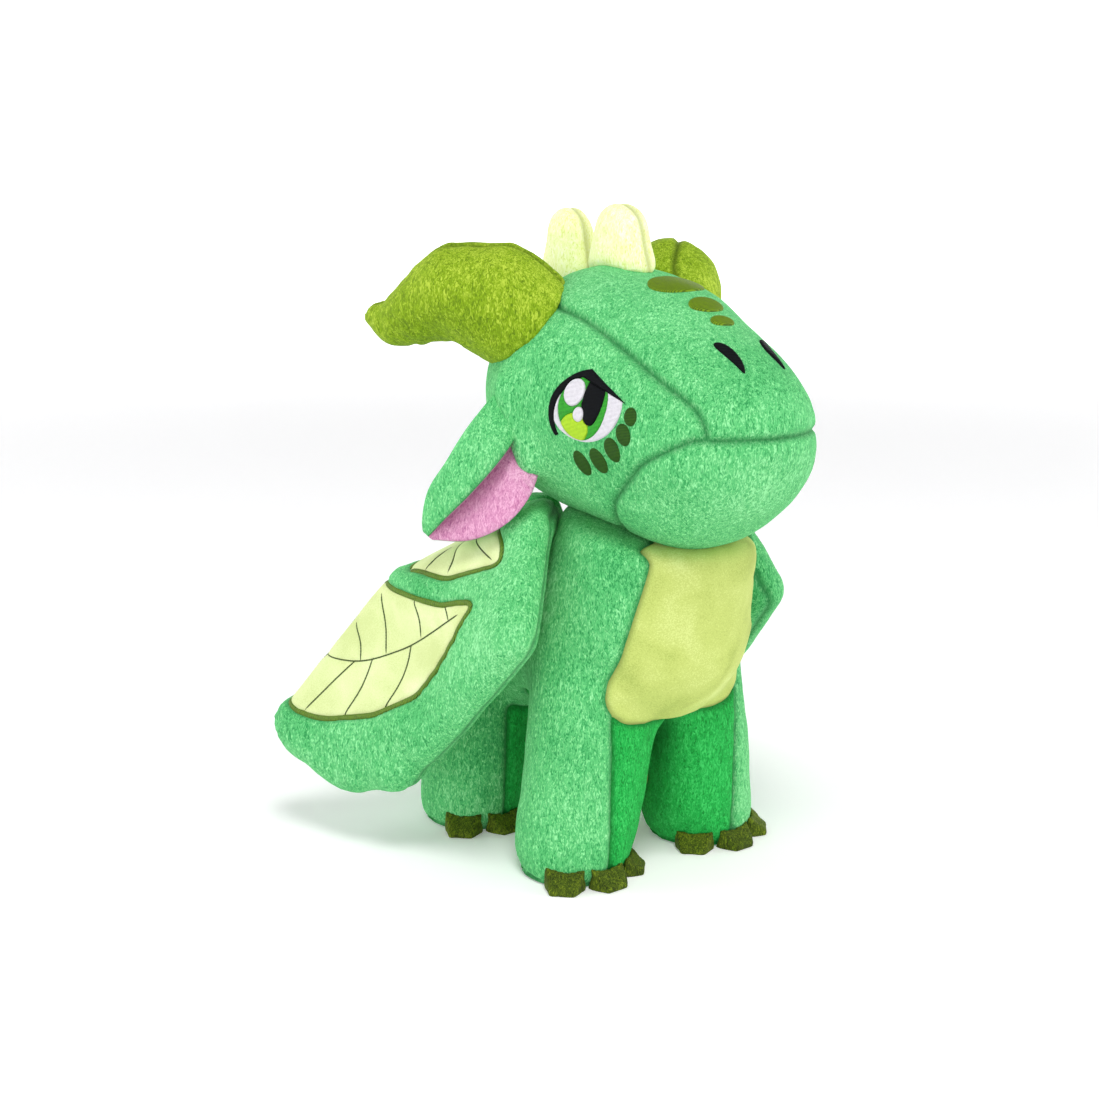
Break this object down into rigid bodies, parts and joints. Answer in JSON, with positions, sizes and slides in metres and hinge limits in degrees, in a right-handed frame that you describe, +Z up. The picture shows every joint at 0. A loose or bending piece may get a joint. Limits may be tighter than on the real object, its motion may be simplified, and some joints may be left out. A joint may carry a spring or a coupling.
{
  "type": "plush dragon",
  "caption": "Stuffed plush dragon standing on four legs, with folded padded wings, hanging ears, curved horns, a soft crest and a short tail.",
  "frame": {"origin": "centre of the bounding box at the floor, midway between the four soles' outer limits", "axes": "+Z up; the dragon faces -Y and its right side is -X"},
  "size_m": [0.182, 0.1835, 0.2209],
  "materials": {
    "green_plush": "short-pile minky plush, soft sheen",
    "pale_fabric": "smooth short-pile velour",
    "wing_patch_fabric": "smooth flat satin-finish cloth with stitched veins",
    "horn_plush": "short-pile minky plush",
    "claw_fabric": "folded short-pile fabric",
    "crest_plush": "short-pile minky plush",
    "ear_lining_plush": "short-pile minky plush",
    "olive_thread": "satin-stitched thread",
    "dark_thread": "satin-stitched thread",
    "eye_thread": "satin-stitched thread in several colours",
    "fibre_filling": "loose polyester fibre"
  },
  "bodies": {
    "torso": {"torso_stuffing": "fibre_filling", "torso_side_right": "green_plush", "torso_side_left": "green_plush", "belly_panel": "pale_fabric", "inner_legs_right": "green_plush", "inner_legs_left": "green_plush", "leg_stuffing_front_right": "fibre_filling", "leg_stuffing_front_left": "fibre_filling", "leg_stuffing_hind_right": "fibre_filling", "leg_stuffing_hind_left": "fibre_filling", "sole_front_right": "green_plush", "sole_front_left": "green_plush", "sole_hind_right": "green_plush", "sole_hind_left": "green_plush", "claws_front_right": "claw_fabric", "claws_front_left": "claw_fabric", "claws_hind_right": "claw_fabric", "claws_hind_left": "claw_fabric"},
    "head": {"head_stuffing": "fibre_filling", "crown_panel": "green_plush", "cheek_right": "green_plush", "cheek_left": "green_plush", "jaw_panel": "green_plush", "crown_spots": "olive_thread", "nostrils": "dark_thread", "eye_right": "eye_thread", "eye_left": "eye_thread", "cheek_spots_right": "olive_thread", "cheek_spots_left": "olive_thread", "crest_front": "crest_plush", "crest_rear": "crest_plush", "horn_cover_right": "horn_plush", "horn_cover_left": "horn_plush", "horn_stuffing_right": "fibre_filling", "horn_stuffing_left": "fibre_filling"},
    "ear_right": {"ear_outer_right": "green_plush", "ear_lining_right": "ear_lining_plush"},
    "ear_left": {"ear_outer_left": "green_plush", "ear_lining_left": "ear_lining_plush"},
    "wing_right": {"wing_front_right": "green_plush", "wing_back_right": "green_plush", "wing_batting_right": "fibre_filling", "wing_patch_lower_right": "wing_patch_fabric", "wing_patch_upper_right": "wing_patch_fabric", "wing_embroidery_right": "olive_thread"},
    "wing_left": {"wing_front_left": "green_plush", "wing_back_left": "green_plush", "wing_batting_left": "fibre_filling", "wing_patch_lower_left": "wing_patch_fabric", "wing_patch_upper_left": "wing_patch_fabric", "wing_embroidery_left": "olive_thread"},
    "tail": {"tail_cover_right": "green_plush", "tail_cover_left": "green_plush", "tail_stuffing": "fibre_filling"}
  },
  "joints": [
    {"name": "head_turn", "type": "hinge", "parent": "torso", "child": "head", "pos_m": [0, -0.036, 0.1175], "axis": [0, -0.1908, 0.9816], "range_deg": [-15, 15], "stiffness_Nm_per_rad": 0.15},
    {"name": "wing_right_flap", "type": "hinge", "parent": "torso", "child": "wing_right", "pos_m": [-0.0165, 0.008, 0.1165], "axis": [-0.1606, 0.8032, -0.5737], "range_deg": [-7, 8], "stiffness_Nm_per_rad": 0.25},
    {"name": "wing_left_flap", "type": "hinge", "parent": "torso", "child": "wing_left", "pos_m": [0.0165, 0.008, 0.1165], "axis": [-0.1606, -0.8032, 0.5737], "range_deg": [-7, 8], "stiffness_Nm_per_rad": 0.25},
    {"name": "ear_right_flap", "type": "hinge", "parent": "head", "child": "ear_right", "pos_m": [-0.0475, -0.011, 0.164], "axis": [-0.1322, 0.3021, 0.9441], "range_deg": [-2, 50], "stiffness_Nm_per_rad": 0.008},
    {"name": "ear_left_flap", "type": "hinge", "parent": "head", "child": "ear_left", "pos_m": [0.0475, -0.011, 0.164], "axis": [-0.1322, -0.3021, -0.9441], "range_deg": [-2, 50], "stiffness_Nm_per_rad": 0.008},
    {"name": "tail_wag", "type": "hinge", "parent": "torso", "child": "tail", "pos_m": [0, 0.069, 0.067], "axis": [0, 0, 1], "range_deg": [-22, 22], "stiffness_Nm_per_rad": 0.02}
  ]
}
